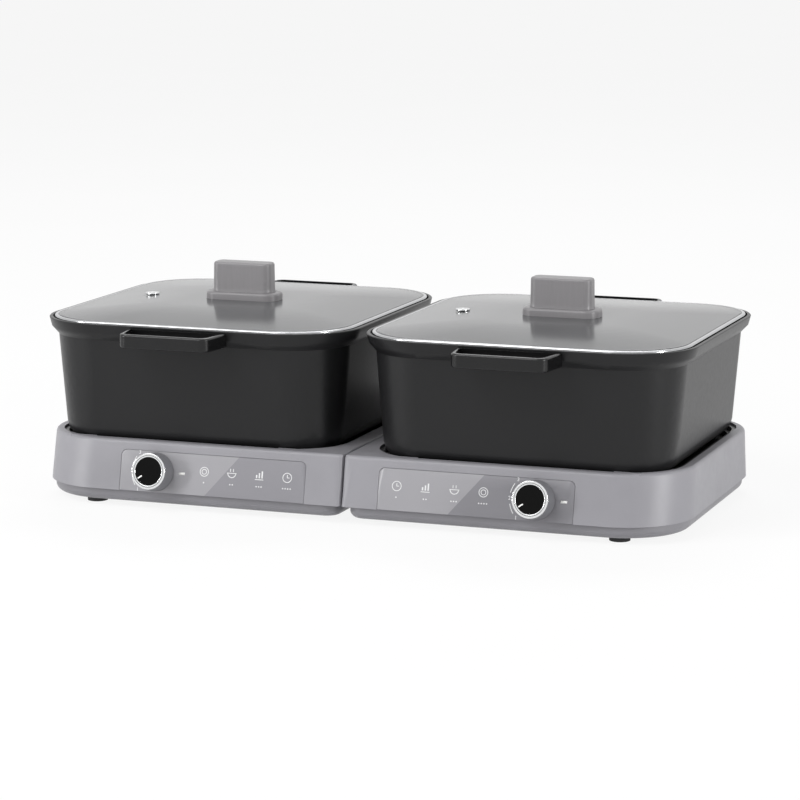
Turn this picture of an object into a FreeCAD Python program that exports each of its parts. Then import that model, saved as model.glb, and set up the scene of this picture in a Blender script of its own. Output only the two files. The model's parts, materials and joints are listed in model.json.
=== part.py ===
import FreeCAD, Part

import math
import os

import Sketcher

# Twin electric hot pot: two cookers side by side, each a grey base with a sunken heating well,
# a black cast pot with two dished handles and a flat glass lid.
# Millimetres. +Z is up, -Y is the front with the dials, the origin is on the floor, midway
# between the two cookers and under the middle of the pots.

doc = FreeCAD.newDocument("TwinHotPot")
sheet = doc.addObject("Spreadsheet::Sheet", "Sizes")

# Driving dimensions: name, value, what it is
DRIVING = [
    ("end_margin", 9.1, "from the well's mouth to the foot of the outer end wall"),
    ("joint_margin", 14.2, "from the well's mouth to the joint face"),
    ("module_gap", 0.6, "air between the two cookers"),
    ("front_margin", 16.1, "from the well's mouth to the foot of the front face"),
    ("rear_margin", 11.4, "from the well's mouth to the foot of the rear face"),
    ("front_lean", 12.3, "lean of the front face in degrees"),
    ("rear_lean", 6.0, "lean of the rear face in degrees"),
    ("end_draft", 0.8, "how much each end wall leans in up to the top"),
    ("outer_corner", 59.0, "plan radius of the shell's outer corners"),
    ("inner_corner", 4.0, "plan radius of the shell's corners at the joint of the cookers"),
    ("foot_height", 5.0, "rubber foot"),
    ("foot_width", 17.0, "rubber foot's diameter"),
    ("foot_end", 51.85, "feet in from the ends of the cooker"),
    ("foot_side", 25.3, "outer feet in from the cooker's front and rear"),
    ("inner_foot_side", 50.0, "inner feet in from the cooker's front and rear"),
    ("tray_inset", 3.2, "tray's wall inside the shell's foot"),
    ("tray_inner_corner", 14.0, "plan radius of the tray's corners at the joint"),
    ("tray_wall", 2.0, "tray's side wall"),
    ("tray_floor", 3.0, "tray's floor"),
    ("tray_round", 6.0, "round under the tray's edge"),
    ("shell_foot", 15.3, "height of the shell's lower edge"),
    ("shell_top", 56.6, "height of the shell's top face"),
    ("shell_wall", 2.6, "shell's wall and roof"),
    ("shell_round", 2.8, "round along the shell's top edge"),
    ("tray_lap", 1.7, "tray's wall up inside the shell"),
    ("well_tuck_x", 10.2, "well's mouth in under the pot's rim along X"),
    ("well_tuck_y", 14.2, "well's mouth in under the pot's rim along Y"),
    ("well_corner", 46.0, "plan radius of the well's mouth"),
    ("pan_fit", 0.3, "gap between the pan and the well's mouth"),
    ("pan_sink", 2.0, "pan's rim below the shell's top face"),
    ("pan_rim", 3.6, "width of the pan's upper rim"),
    ("pan_step", 4.0, "drop from the pan's rim to its ledge"),
    ("pan_ledge", 4.0, "width of the pan's ledge"),
    ("pan_floor", 45.6, "height of the pan's floor"),
    ("pan_sheet", 1.6, "pan's wall and floor"),
    ("guide_length", 22.0, "corner guide along its side"),
    ("guide_reach", 3.0, "corner guide out over the pan"),
    ("plate_radius", 90.0, "heating plate"),
    ("plate_neck", 72.0, "heating plate's boss through the pan"),
    ("plate_top", 49.8, "height of the heating plate's face"),
    ("plate_depth", 11.8, "heating plate from its face to the underside of its boss"),
    ("plate_hole", 12.0, "dimple in the middle of the plate's face"),
    ("plate_break", 1.0, "broken edge of the heating plate"),
    ("dimple_depth", 1.0, "dimple in the middle of the plate"),
    ("terminal_drop", 12.0, "tube's terminals below its ring"),
    ("terminal_spread", 9.0, "tube's terminals from the cooker's middle"),
    ("tube_ring", 56.0, "heating tube's ring radius"),
    ("tube_radius", 4.0, "heating tube"),
    ("cutout_radius", 8.0, "thermostat under the plate"),
    ("cutout_height", 9.0, "thermostat's height"),
    ("fuse_radius", 2.4, "thermal fuse"),
    ("fuse_length", 22.0, "thermal fuse"),
    ("fuse_offset", 24.0, "thermal fuse from the plate's middle"),
    ("panel_joint", 32.0, "control panel's near edge from the joint of the cookers"),
    ("panel_length", 164.3, "control panel along X"),
    ("panel_height", 34.0, "control panel up the front face"),
    ("panel_corner", 4.5, "control panel's upper corners"),
    ("panel_sheet", 1.6, "control panel's thickness"),
    ("panel_groove", 0.35, "groove round the control panel"),
    ("knob_joint", 164.6, "dial's axis from the joint of the cookers"),
    ("knob_rise", 17.2, "dial's axis up the front face"),
    ("knob_lift", 0.6, "dial off the panel"),
    ("knob_height", 13.4, "dial's body"),
    ("knob_foot_radius", 16.2, "dial's body at the panel"),
    ("knob_radius", 15.0, "dial's body at its ring"),
    ("ring_height", 1.4, "dial's bright ring"),
    ("face_radius", 11.8, "dial's dark face"),
    ("face_height", 0.8, "dial's dark face"),
    ("shaft_radius", 3.0, "switch's shaft"),
    ("shaft_fit", 0.05, "running fit round the shaft"),
    ("shaft_depth", 9.5, "shaft inside the dial"),
    ("switch_side", 20.0, "rotary switch's body"),
    ("switch_depth", 9.0, "rotary switch's body"),
    ("bushing_radius", 4.5, "rotary switch's bushing"),
    ("board_length", 140.0, "control board"),
    ("board_height", 26.0, "control board"),
    ("board_sheet", 1.6, "control board"),
    ("lens_offset", 23.6, "lamp lens from the dial's axis"),
    ("lens_length", 5.2, "lamp lens"),
    ("lens_height", 2.2, "lamp lens"),
    ("lens_proud", 0.3, "lamp lens off the panel"),
    ("inlet_width", 40.0, "power inlet's flange"),
    ("inlet_height", 26.0, "power inlet's flange"),
    ("inlet_offset", 70.0, "power inlet from the joint of the cookers"),
    ("inlet_depth", 20.0, "power inlet's length inside the rear face"),
    ("inlet_flange", 7.0, "power inlet's flange inside the rear face"),
    ("inlet_proud", 0.6, "power inlet off the rear face"),
    ("inlet_wall", 2.0, "power inlet's wall"),
    ("socket_width", 28.0, "power inlet's socket"),
    ("socket_height", 15.0, "power inlet's socket"),
    ("socket_depth", 15.0, "power inlet's socket"),
    ("pin_radius", 2.0, "power inlet's pin"),
    ("pin_spread", 7.0, "power inlet's pins from the middle"),
    ("pin_length", 11.0, "power inlet's pin"),
    ("screw_radius", 1.5, "case screw"),
    ("screw_head", 3.0, "case screw's head"),
    ("sink_depth", 2.0, "depth of the sinks for the case screws' heads"),
    ("head_fit", 0.1, "air round a case screw's head"),
    ("screw_length", 16.0, "case screw"),
    ("boss_radius", 3.6, "shell's screw boss"),
    ("boss_joint", 12.6, "bosses in from the joint face"),
    ("boss_side", 20.3, "bosses at the joint, in from front and rear"),
    ("post_radius", 5.0, "tray's post under the pan"),
    ("post_in", 40.2, "posts in from the well's mouth"),
    ("slot_pitch", 10.0, "cooling slots, one row to the next"),
    ("slot_length", 40.0, "cooling slot"),
    ("slot_width", 3.6, "cooling slot"),
    ("slot_middle", 50.0, "cooling slots from the cooker's middle"),
    ("rim_half_x", 138.4, "half the pot's rim along X"),
    ("rim_half_y", 142.4, "half the pot's rim along Y"),
    ("rim_corner", 60.0, "plan radius of the pot's rim"),
    ("pot_foot", 50.0, "height of the pot's underside"),
    ("pot_top", 153.0, "height of the pot's rim"),
    ("rim_band", 7.8, "rim's upright band"),
    ("rim_tuck", 2.0, "how far the band leans in"),
    ("rim_flare", 6.6, "height of the slope under the band"),
    ("flare_step", 6.4, "width of the slope under the band"),
    ("corner_pull", 1.25, "how much faster the pot's corners tighten than its outline shrinks"),
    ("pot_draft", 4.9, "lean of the pot's wall in degrees"),
    ("pot_wall", 3.0, "pot's wall"),
    ("pot_floor", 3.6, "pot's floor"),
    ("pot_round", 14.0, "round under the pot"),
    ("seat_inset", 3.2, "width of the rim's lip"),
    ("seat_depth", 3.0, "lid's seat below the rim"),
    ("seat_width", 6.4, "lid's seat"),
    ("grip_reach", 31.6, "pot handle out from the rim"),
    ("grip_foot", 139.8, "height of the pot handle's underside"),
    ("grip_height", 11.5, "pot handle"),
    ("grip_screw_radius", 1.25, "handle screw"),
    ("grip_screw_cap", 2.6, "handle screw's head"),
    ("grip_screw_head", 1.4, "height of the handle screw's head"),
    ("grip_screw_length", 9.0, "handle screw"),
    ("lip_round", 0.6, "break on the rim's edge"),
    ("grip_half", 39.0, "half the pot handle's width at its bar"),
    ("grip_root_half", 43.5, "half the pot handle's width at the pot"),
    ("grip_corner", 8.0, "pot handle's corners"),
    ("grip_edge", 1.8, "pot handle's bevelled edges"),
    ("dish_edge", 3.2, "width of the rib round the handle's dished top"),
    ("dish_depth", 4.0, "dish in the handle's top"),
    ("dish_corner", 6.0, "dish's front corners"),
    ("tab_fit", 0.3, "air between the handle's tab and the slope under the rim"),
    ("tab_side", 2.0, "handle's tab past the bar at each side"),
    ("tab_bite", 2.0, "how far the tab runs into the handle"),
    ("tab_sheet", 1.4, "handle's tab"),
    ("grip_screw_x", 36.0, "handle screws from the handle's middle"),
    ("grip_screw_in", 3.8, "handle screws in from the rim's edge"),
    ("lid_gap", 1.6, "gap between the rim's lip and the lid"),
    ("lid_lift", 0.2, "lid off its seat, pot off the plate"),
    ("lid_band", 4.2, "steel band's height"),
    ("lid_band_width", 3.4, "steel band's width"),
    ("lid_band_round", 1.4, "round on the steel band's top"),
    ("lid_lip", 3.0, "steel band's lip under the glass"),
    ("lid_lip_sheet", 0.8, "steel band's lip"),
    ("glass_fit", 0.1, "glass inside its band"),
    ("glass_sheet", 3.4, "glass"),
    ("glass_rise", 4.7, "glass above its edge in the middle"),
    ("dome_corner", 0.42, "the dome's corner radius as a share of its half length"),
    ("dome_half", 45.0, "half the dome's flat middle"),
    ("vent_x", 88.5, "steam vent left of the lid's middle"),
    ("vent_y", 4.0, "steam vent behind the lid's middle"),
    ("vent_radius", 6.0, "steam vent's flange"),
    ("vent_stem", 4.0, "steam vent's stem"),
    ("vent_hole", 1.6, "steam vent's bore"),
    ("vent_gasket", 0.3, "vent's flange off the glass"),
    ("vent_cap", 1.6, "steam vent's flange height"),
    ("collar_length", 66.0, "lid knob's collar"),
    ("collar_width", 28.0, "lid knob's collar"),
    ("collar_height", 6.6, "lid knob's collar"),
    ("collar_corner", 10.5, "collar's upright corners"),
    ("collar_round", 2.4, "round on the collar"),
    ("block_length", 54.0, "lid knob along X at its foot"),
    ("block_width", 20.0, "lid knob along Y at its foot"),
    ("block_taper", 0.8, "how much each side of the lid knob leans in"),
    ("block_sweep", 3.0, "height of the knob's faster lean at its foot"),
    ("block_sweep_share", 0.6, "part of the taper that lies in that foot"),
    ("block_corner", 6.5, "lid knob's upright corners"),
    ("block_round", 2.2, "round on the lid knob's top"),
    ("block_top", 191.0, "height of the lid knob's top"),
    ("stud_radius", 2.5, "lid knob's screw"),
    ("stud_head", 7.0, "lid knob's screw head"),
    ("stud_head_height", 2.2, "lid knob's screw head"),
    ("stud_length", 26.0, "lid knob's screw"),
]


class Size:
    """A length that carries its number and the sheet formula that it comes from."""

    def __init__(self, value, formula):
        self.value = float(value)
        self.formula = formula

    def __add__(self, other):
        other = as_size(other)
        return Size(self.value + other.value, f"({self.formula} + {other.formula})")

    def __radd__(self, other):
        return as_size(other) + self

    def __sub__(self, other):
        other = as_size(other)
        return Size(self.value - other.value, f"({self.formula} - {other.formula})")

    def __rsub__(self, other):
        return as_size(other) - self

    def __mul__(self, other):
        other = as_size(other)
        return Size(self.value * other.value, f"({self.formula} * {other.formula})")

    __rmul__ = __mul__

    def __truediv__(self, other):
        other = as_size(other)
        return Size(self.value / other.value, f"({self.formula} / {other.formula})")

    def __neg__(self):
        return Size(-self.value, f"(0 - {self.formula})")


def as_size(number):
    if isinstance(number, Size):
        return number
    return Size(number, f"({float(number):.6f})")


def tan_of(angle):
    return Size(math.tan(math.radians(angle.value)), f"tan({angle.formula} * 1 deg)")


def cos_of(angle):
    return Size(math.cos(math.radians(angle.value)), f"cos({angle.formula} * 1 deg)")


def sin_of(angle):
    return Size(math.sin(math.radians(angle.value)), f"sin({angle.formula} * 1 deg)")


def fill_sheet():
    """Writes the driving dimensions into the sheet and returns them by name."""
    sizes = {}
    for row, (name, value, meaning) in enumerate(DRIVING, start=1):
        sheet.set(f"A{row}", meaning)
        sheet.set(f"B{row}", str(value))
        sheet.setAlias(f"B{row}", name)
        sizes[name] = Size(value, f"Sizes.{name}")
    doc.recompute()
    return sizes


D = fill_sheet()

# Reaches that follow from the pot, so that each base fits round its own pot
D["well_half_x"] = D["rim_half_x"] - D["well_tuck_x"]
D["well_half_y"] = D["rim_half_y"] - D["well_tuck_y"]
D["pot_middle"] = D["module_gap"] / 2 + D["joint_margin"] + D["well_half_x"]
D["module_length"] = D["joint_margin"] + D["well_half_x"] * 2 + D["end_margin"]
D["front_reach"] = D["well_half_y"] + D["front_margin"]
D["rear_reach"] = D["well_half_y"] + D["rear_margin"]


def bind(thing, prop, size):
    thing.setExpression(prop, size.formula)


def new_body(label):
    body = doc.addObject("PartDesign::Body", label)
    body.Label = label
    return body


def origin_plane(body, role):
    for feature in body.Origin.OriginFeatures:
        if feature.Role == role:
            return feature
    raise RuntimeError("no plane " + role)


def flat_sketch(body, name, height):
    """A sketch on the body's XY plane, lifted to a height."""
    sketch = body.newObject("Sketcher::SketchObject", name)
    sketch.AttachmentSupport = [(origin_plane(body, "XY_Plane"), "")]
    sketch.MapMode = "FlatFace"
    bind(sketch, "AttachmentOffset.Base.z", as_size(height))
    return sketch


def pin_point(sketch, axis, curve, point, size):
    """Holds one coordinate of a sketch point at a size from the sheet."""
    size = as_size(size)
    if abs(size.value) < 1e-9:
        sketch.addConstraint(Sketcher.Constraint("PointOnObject", curve, point, -2 if axis == "X" else -1))
        return
    if size.value > 0:
        index = sketch.addConstraint(
            Sketcher.Constraint("Distance" + axis, -1, 1, curve, point, size.value))
    else:
        size = -size
        index = sketch.addConstraint(
            Sketcher.Constraint("Distance" + axis, curve, point, -1, 1, size.value))
    bind(sketch, f"Constraints[{index}]", size)


def set_radius(sketch, curve, radius):
    index = sketch.addConstraint(Sketcher.Constraint("Radius", curve, radius.value))
    bind(sketch, f"Constraints[{index}]", radius)


def draw_box(sketch, x0, x1, y0, y1, corners=None):
    """Draws a rectangle. corners holds the radii front left, front right, rear right, rear left."""
    x0, x1, y0, y1 = as_size(x0), as_size(x1), as_size(y0), as_size(y1)
    corners = [as_size(r) if r is not None else None for r in (corners or [None] * 4)]
    spots = [(x0, y0, 1, 1), (x1, y0, -1, 1), (x1, y1, -1, -1), (x0, y1, 1, -1)]
    radii = [r.value if r is not None else 0.0 for r in corners]
    starts = []
    for i, (x, y, _, _) in enumerate(spots):
        j = (i + 1) % 4
        r0, r1 = radii[i], radii[j]
        x2, y2 = spots[j][0].value, spots[j][1].value
        direction = ((1, 0), (0, 1), (-1, 0), (0, -1))[i]
        a = FreeCAD.Vector(x.value + direction[0] * r0, y.value + direction[1] * r0, 0)
        b = FreeCAD.Vector(x2 - direction[0] * r1, y2 - direction[1] * r1, 0)
        starts.append(sketch.addGeometry(Part.LineSegment(a, b), False))
    for i, line in enumerate(starts):
        sketch.addConstraint(Sketcher.Constraint("Horizontal" if i % 2 == 0 else "Vertical", line))
    for i, (x, y, sx, sy) in enumerate(spots):
        before, after = starts[i - 1], starts[i]
        if corners[i] is None:
            sketch.addConstraint(Sketcher.Constraint("Coincident", before, 2, after, 1))
            continue
        centre = FreeCAD.Vector(x.value + sx * radii[i], y.value + sy * radii[i], 0)
        circle = Part.Circle(centre, FreeCAD.Vector(0, 0, 1), radii[i])
        start_angle = math.pi + i * math.pi / 2
        arc = sketch.addGeometry(Part.ArcOfCircle(circle, start_angle, start_angle + math.pi / 2), False)
        sketch.addConstraint(Sketcher.Constraint("Tangent", before, 2, arc, 1))
        sketch.addConstraint(Sketcher.Constraint("Tangent", arc, 2, after, 1))
        set_radius(sketch, arc, corners[i])
    pin_point(sketch, "Y", starts[0], 1, y0)
    pin_point(sketch, "X", starts[1], 1, x1)
    pin_point(sketch, "Y", starts[2], 1, y1)
    pin_point(sketch, "X", starts[3], 1, x0)


def draw_circle(sketch, x, y, radius):
    x, y, radius = as_size(x), as_size(y), as_size(radius)
    centre = FreeCAD.Vector(x.value, y.value, 0)
    circle = sketch.addGeometry(Part.Circle(centre, FreeCAD.Vector(0, 0, 1), radius.value), False)
    set_radius(sketch, circle, radius)
    pin_point(sketch, "X", circle, 3, x)
    pin_point(sketch, "Y", circle, 3, y)


def pad(body, name, sketch, length, reverse=False):
    feature = body.newObject("PartDesign::Pad", name)
    feature.Profile = sketch
    bind(feature, "Length", as_size(length))
    feature.Reversed = reverse
    doc.recompute()
    return feature


def pocket(body, name, sketch, length, upward=False):
    """Cuts a pocket and makes sure that it took material away."""
    before = body.Shape.Volume
    feature = body.newObject("PartDesign::Pocket", name)
    feature.Profile = sketch
    bind(feature, "Length", as_size(length))
    feature.Reversed = upward
    doc.recompute()
    if body.Shape.Volume >= before:
        raise RuntimeError("pocket cut nothing: " + name)
    return feature


def loft(body, name, sketches, subtract=False):
    kind = "PartDesign::SubtractiveLoft" if subtract else "PartDesign::AdditiveLoft"
    feature = body.newObject(kind, name)
    feature.Profile = sketches[0]
    feature.Sections = list(sketches[1:])
    feature.Ruled = True
    doc.recompute()
    return feature


def edges_at(shape, height, kinds=None, spread=0.02):
    """Names of the edges that lie level at a height."""
    names = []
    for i, edge in enumerate(shape.Edges, start=1):
        box = edge.BoundBox
        if abs(box.ZMin - height) < spread and abs(box.ZMax - height) < spread:
            if kinds is None or kinds(edge):
                names.append(f"Edge{i}")
    return names


def fillet(body, name, base, edge_names, radius):
    feature = body.newObject("PartDesign::Fillet", name)
    feature.Base = (base, edge_names)
    bind(feature, "Radius", as_size(radius))
    doc.recompute()
    return feature


def chamfer(body, name, base, edge_names, size):
    feature = body.newObject("PartDesign::Chamfer", name)
    feature.Base = (base, edge_names)
    bind(feature, "Size", as_size(size))
    doc.recompute()
    return feature


def ends(side, joint_edge, outer_edge):
    """Low and high X of something that spans from the joint side to the outer side of a cooker."""
    if side > 0:
        return as_size(joint_edge), as_size(outer_edge)
    return -as_size(outer_edge), -as_size(joint_edge)


def end_corners(side, joint_radius, outer_radius):
    if side > 0:
        return [joint_radius, outer_radius, outer_radius, joint_radius]
    return [outer_radius, joint_radius, joint_radius, outer_radius]


# Heights and reaches that several pieces share
HALF_GAP = D["module_gap"] / 2
SHELL_RISE = D["shell_top"] - D["shell_foot"]
FRONT_TOP = D["front_reach"] - SHELL_RISE * tan_of(D["front_lean"])
REAR_TOP = D["rear_reach"] - SHELL_RISE * tan_of(D["rear_lean"])
TRAY_FLOOR_TOP = D["foot_height"] + D["tray_floor"]
PAN_TOP = D["shell_top"] - D["pan_sink"]
PAN_UNDER = D["pan_floor"] - D["pan_sheet"]
PLATE_UNDER = D["plate_top"] - D["plate_depth"]
SEAT_TOP = D["pot_top"] - D["seat_depth"]
BAND_FOOT = D["pot_top"] - D["rim_band"]
FLARE_FOOT = BAND_FOOT - D["rim_flare"]
LID_FOOT = SEAT_TOP + D["lid_lift"]
GLASS_FOOT = LID_FOOT + D["lid_lip_sheet"]
GLASS_EDGE_TOP = GLASS_FOOT + D["glass_sheet"]
GLASS_TOP = GLASS_EDGE_TOP + D["glass_rise"]
COLLAR_TOP = GLASS_TOP + D["collar_height"]


def shell_outline(sketch, side, inset, share, outer_less=0):
    """The shell's outline at a share of its height, moved in by an inset."""
    inset = as_size(inset)
    lean_front = SHELL_RISE * tan_of(D["front_lean"]) * share
    lean_rear = SHELL_RISE * tan_of(D["rear_lean"]) * share
    near = HALF_GAP + inset
    far = HALF_GAP + D["module_length"] - D["end_draft"] * share - inset
    x0, x1 = ends(side, near, far)
    inner = D["inner_corner"] if inset.value < 1 else None
    outer = D["outer_corner"] - inset
    draw_box(sketch, x0, x1, -(D["front_reach"] - lean_front - inset),
             D["rear_reach"] - lean_rear - inset, end_corners(side, inner, outer))


def well_box(sketch, side, inset):
    """The well's mouth or a step of the pan, moved in by an inset."""
    middle = D["pot_middle"] * side
    half_x = D["well_half_x"] - inset
    half_y = D["well_half_y"] - inset
    draw_box(sketch, middle - half_x, middle + half_x, -half_y, half_y, [D["well_corner"] - inset] * 4)


def face_sketch(body, name, side, depth):
    """A sketch on the leaning front face, with X along the cooker and Y up the face.

    Its origin is at the foot of the face on the joint of the cookers. depth counts into the shell.
    """
    sketch = body.newObject("Sketcher::SketchObject", name)
    sketch.AttachmentSupport = [(origin_plane(body, "XZ_Plane"), "")]
    sketch.MapMode = "FlatFace"
    depth = as_size(depth)
    lean = D["front_lean"]
    sketch.AttachmentOffset = FreeCAD.Placement(
        FreeCAD.Vector(0, 0, 0), FreeCAD.Rotation(FreeCAD.Vector(-1, 0, 0), lean.value))
    sketch.setExpression("AttachmentOffset.Rotation.Angle", f"{lean.formula} * 1 deg")
    bind(sketch, "AttachmentOffset.Base.y", D["shell_foot"] - depth * sin_of(lean))
    bind(sketch, "AttachmentOffset.Base.z", D["front_reach"] - depth * cos_of(lean))
    return sketch


def rounded_top(top, radius, steps=3):
    """Heights and insets of the sections that round off a top edge."""
    stations = []
    for step in range(steps + 1):
        turn = math.pi / 2 * step / steps
        stations.append((top - radius * (1 - math.sin(turn)), radius * (1 - math.cos(turn))))
    return stations


def rounded_foot(foot, radius, steps=4):
    """Heights and insets of the sections that round off a bottom edge, from below up."""
    stations = []
    for step in range(steps + 1):
        turn = math.pi / 2 * step / steps
        stations.append((foot + radius * (1 - math.cos(turn)), radius * (1 - math.sin(turn))))
    return stations


def make_shell(side, prefix):
    body = new_body(prefix + "upper_shell")
    stations = [(D["shell_foot"], as_size(0))] + rounded_top(D["shell_top"], D["shell_round"])
    sections = []
    for number, (height, inset) in enumerate(stations):
        section = flat_sketch(body, f"outer_{number}", height)
        shell_outline(section, side, inset, (height - D["shell_foot"]) / SHELL_RISE)
        sections.append(section)
    loft(body, "outside", sections)

    roof = D["shell_top"] - D["shell_wall"]
    low = flat_sketch(body, "inner_foot", D["shell_foot"] - 1)
    shell_outline(low, side, D["shell_wall"], as_size(-1) / SHELL_RISE)
    high = flat_sketch(body, "inner_top", roof)
    shell_outline(high, side, D["shell_wall"], (roof - D["shell_foot"]) / SHELL_RISE)
    loft(body, "inside", [low, high], subtract=True)

    mouth = flat_sketch(body, "well_mouth", D["shell_top"] + 1)
    well_box(mouth, side, 0)
    pocket(body, "well", mouth, D["shell_wall"] + 2)

    guides = flat_sketch(body, "guide_outline", D["shell_top"])
    draw_guides(guides, side)
    pad(body, "corner_guides", guides, D["pan_sink"] - D["pan_fit"], reverse=True)

    bosses = flat_sketch(body, "boss_outline", TRAY_FLOOR_TOP)
    for x, y in boss_spots(side):
        draw_circle(bosses, x, y, D["boss_radius"])
    pad(body, "screw_bosses", bosses, roof - TRAY_FLOOR_TOP + 1)
    bores = flat_sketch(body, "boss_bores", TRAY_FLOOR_TOP)
    for x, y in boss_spots(side):
        draw_circle(bores, x, y, D["screw_radius"])
    pocket(body, "screw_bores", bores, D["screw_length"], upward=True)

    recess = face_sketch(body, "panel_recess", side, D["panel_sheet"])
    panel_outline(recess, side, D["panel_groove"], -4)
    pocket(body, "panel_seat", recess, D["panel_sheet"] + 8, upward=True)
    holes = face_sketch(body, "panel_holes", side, 0)
    draw_circle(holes, knob_x(side), D["knob_rise"], D["bushing_radius"] + D["shaft_fit"])
    lens_box(holes, side, D["shaft_fit"])
    pocket(body, "dial_and_lamp_holes", holes, D["shell_wall"] + 3)

    gap = rear_sketch(body, "inlet_hole", side, D["inlet_flange"] + 1)
    inlet_box(gap, side, D["inlet_width"] / 2 + D["shaft_fit"], D["inlet_height"] / 2 + D["shaft_fit"])
    pocket(body, "inlet_gap", gap, D["inlet_flange"] + 3)
    return body


def draw_guides(sketch, side):
    """Four short pads that reach in over the pan's corners."""
    middle = D["pot_middle"] * side
    overlap = 1
    half = D["well_half_y"] + overlap
    reach = D["guide_reach"] + overlap
    run = D["guide_length"] / 2
    centre = D["well_half_x"] - D["well_corner"] + run
    for sx in (-1, 1):
        for sy in (-1, 1):
            mid_x = middle + centre * sx
            y_edge = half * sy
            y_in = (half - reach) * sy
            low, high = (y_edge, y_in) if sy < 0 else (y_in, y_edge)
            draw_box(sketch, mid_x - run, mid_x + run, low, high)


def boss_spots(side):
    """Places of the two case screws, in the corners by the joint. The tray's far end is a snap fit."""
    x = (HALF_GAP + D["boss_joint"]) * side
    return [(x, D["boss_side"] - D["front_reach"]), (x, D["rear_reach"] - D["boss_side"])]


def knob_x(side):
    return D["knob_joint"] * side


def panel_outline(sketch, side, grow, foot):
    x0, x1 = ends(side, D["panel_joint"], D["panel_joint"] + D["panel_length"])
    grow = as_size(grow)
    radius = D["panel_corner"] + grow
    draw_box(sketch, x0 - grow, x1 + grow, as_size(foot), D["panel_height"] + grow,
             [None, None, radius, radius])


def lens_box(sketch, side, grow):
    x = knob_x(side) + D["lens_offset"]
    half_x = D["lens_length"] / 2 + grow
    half_y = D["lens_height"] / 2 + grow
    draw_box(sketch, x - half_x, x + half_x, D["knob_rise"] - half_y, D["knob_rise"] + half_y)


def rear_sketch(body, name, side, depth):
    """An upright sketch at the rear, seen from the front: X along the cooker, Y up."""
    sketch = body.newObject("Sketcher::SketchObject", name)
    sketch.AttachmentSupport = [(origin_plane(body, "XZ_Plane"), "")]
    sketch.MapMode = "FlatFace"
    bind(sketch, "AttachmentOffset.Base.z", -(D["rear_reach"] - as_size(depth)))
    return sketch


INLET_HEIGHT = (D["shell_foot"] + D["shell_top"]) / 2 - 2


def inlet_box(sketch, side, half_x, half_y):
    x = D["inlet_offset"] * side
    draw_box(sketch, x - half_x, x + half_x, INLET_HEIGHT - half_y, INLET_HEIGHT + half_y)


def make_tray(side, prefix):
    body = new_body(prefix + "lower_tray")
    near = HALF_GAP + D["tray_inset"]
    far = HALF_GAP + D["module_length"] - D["tray_inset"]
    x0, x1 = ends(side, near, far)
    front = D["front_reach"] - D["tray_inset"]
    rear = D["rear_reach"] - D["tray_inset"]
    outer = D["outer_corner"] - D["tray_inset"]
    corners = end_corners(side, D["tray_inner_corner"], outer)
    outline = flat_sketch(body, "outline", D["foot_height"])
    draw_box(outline, x0, x1, -front, rear, corners)
    top = D["shell_foot"] + D["tray_lap"]
    solid = pad(body, "block", outline, top - D["foot_height"])
    fillet(body, "edge_round", solid, edges_at(solid.Shape, D["foot_height"].value), D["tray_round"])
    wall = D["tray_wall"]
    hollow = flat_sketch(body, "hollow_outline", top)
    draw_box(hollow, x0 + wall, x1 - wall, -(front - wall), rear - wall,
             end_corners(side, D["tray_inner_corner"] - wall, outer - wall))
    pocket(body, "hollow", hollow, top - TRAY_FLOOR_TOP)

    posts = flat_sketch(body, "post_outline", TRAY_FLOOR_TOP)
    for x, y in post_spots(side):
        draw_circle(posts, x, y, D["post_radius"])
    pad(body, "pan_posts", posts, PAN_UNDER - TRAY_FLOOR_TOP)

    holes = flat_sketch(body, "screw_holes", TRAY_FLOOR_TOP)
    for x, y in boss_spots(side):
        draw_circle(holes, x, y, D["screw_radius"])
    pocket(body, "screw_bores", holes, D["tray_floor"] + 1)
    sinks = flat_sketch(body, "screw_sinks", D["foot_height"])
    for x, y in boss_spots(side):
        draw_circle(sinks, x, y, D["screw_head"])
    pocket(body, "screw_head_sinks", sinks, D["sink_depth"], upward=True)
    vents = flat_sketch(body, "vent_outline", TRAY_FLOOR_TOP)
    draw_vents(vents, side)
    pocket(body, "cooling_slots", vents, D["tray_floor"] + 1)
    return body


def draw_vents(sketch, side):
    """Rows of cooling slots under the cooker."""
    middle = D["pot_middle"] * side
    half_length = D["slot_length"] / 2
    half_width = D["slot_width"] / 2
    for row in range(-3, 4):
        y = D["slot_pitch"] * row
        for sx in (-1, 1):
            x = middle + D["slot_middle"] * sx
            draw_box(sketch, x - half_length, x + half_length, y - half_width, y + half_width)


def post_spots(side):
    middle = D["pot_middle"] * side
    spread_x = D["well_half_x"] - D["post_in"]
    spread_y = D["well_half_y"] - D["post_in"]
    return [(middle + spread_x * sx, spread_y * sy) for sx in (-1, 1) for sy in (-1, 1)]


def make_feet(side, prefix):
    body = new_body(prefix + "rubber_feet")
    outline = flat_sketch(body, "outline", 0)
    near = HALF_GAP + D["foot_end"]
    far = HALF_GAP + D["module_length"] - D["foot_end"]
    for x, inset in ((near, D["inner_foot_side"]), (far, D["foot_side"])):
        draw_circle(outline, x * side, inset - D["front_reach"], D["foot_width"] / 2)
        draw_circle(outline, x * side, D["rear_reach"] - inset, D["foot_width"] / 2)
    body.AllowCompound = True
    pad(body, "pads", outline, D["foot_height"])
    return body


def make_case_screws(side, prefix):
    body = new_body(prefix + "case_screws")
    body.AllowCompound = True
    heads = flat_sketch(body, "head_outline", D["foot_height"] + D["head_fit"])
    shanks = flat_sketch(body, "shank_outline", D["foot_height"] + D["head_fit"])
    for x, y in boss_spots(side):
        draw_circle(heads, x, y, D["screw_head"] - D["head_fit"])
        draw_circle(shanks, x, y, D["screw_radius"])
    pad(body, "heads", heads, D["sink_depth"] - D["head_fit"])
    pad(body, "shanks", shanks, D["screw_length"])
    return body


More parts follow.
